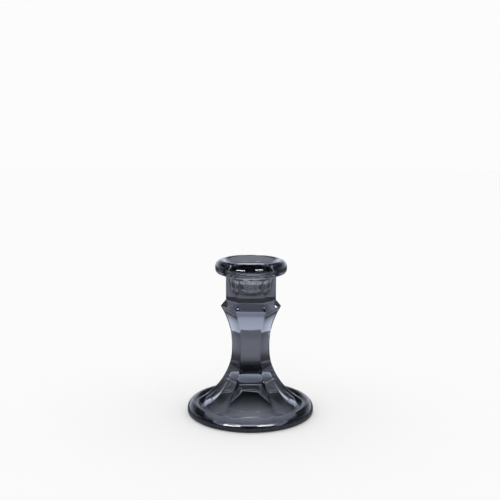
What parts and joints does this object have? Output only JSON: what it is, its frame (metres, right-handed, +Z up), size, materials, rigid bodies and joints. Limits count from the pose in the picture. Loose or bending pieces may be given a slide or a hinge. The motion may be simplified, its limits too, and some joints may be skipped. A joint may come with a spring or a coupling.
{
  "type": "candlestick",
  "caption": "Hexagonal smoked-glass candlestick: round bead foot, hollow flared skirt, waisted stem, collar, and a socket with a rounded drip rim for a dinner candle.",
  "frame": {"origin": "centre of the circle that the foot rests on, at table height", "axes": "+Z up along the candle's axis; -Y and +Y face two opposite panels of the hexagon, and two of its corners lie on +X and -X"},
  "size_m": [0.082, 0.082, 0.1],
  "materials": {
    "smoke_glass": "gloss"
  },
  "bodies": {
    "root": {"foot_ring": "smoke_glass", "foot_skirt": "smoke_glass", "stem": "smoke_glass", "collar": "smoke_glass", "candle_socket": "smoke_glass", "drip_rim": "smoke_glass"}
  },
  "joints": []
}
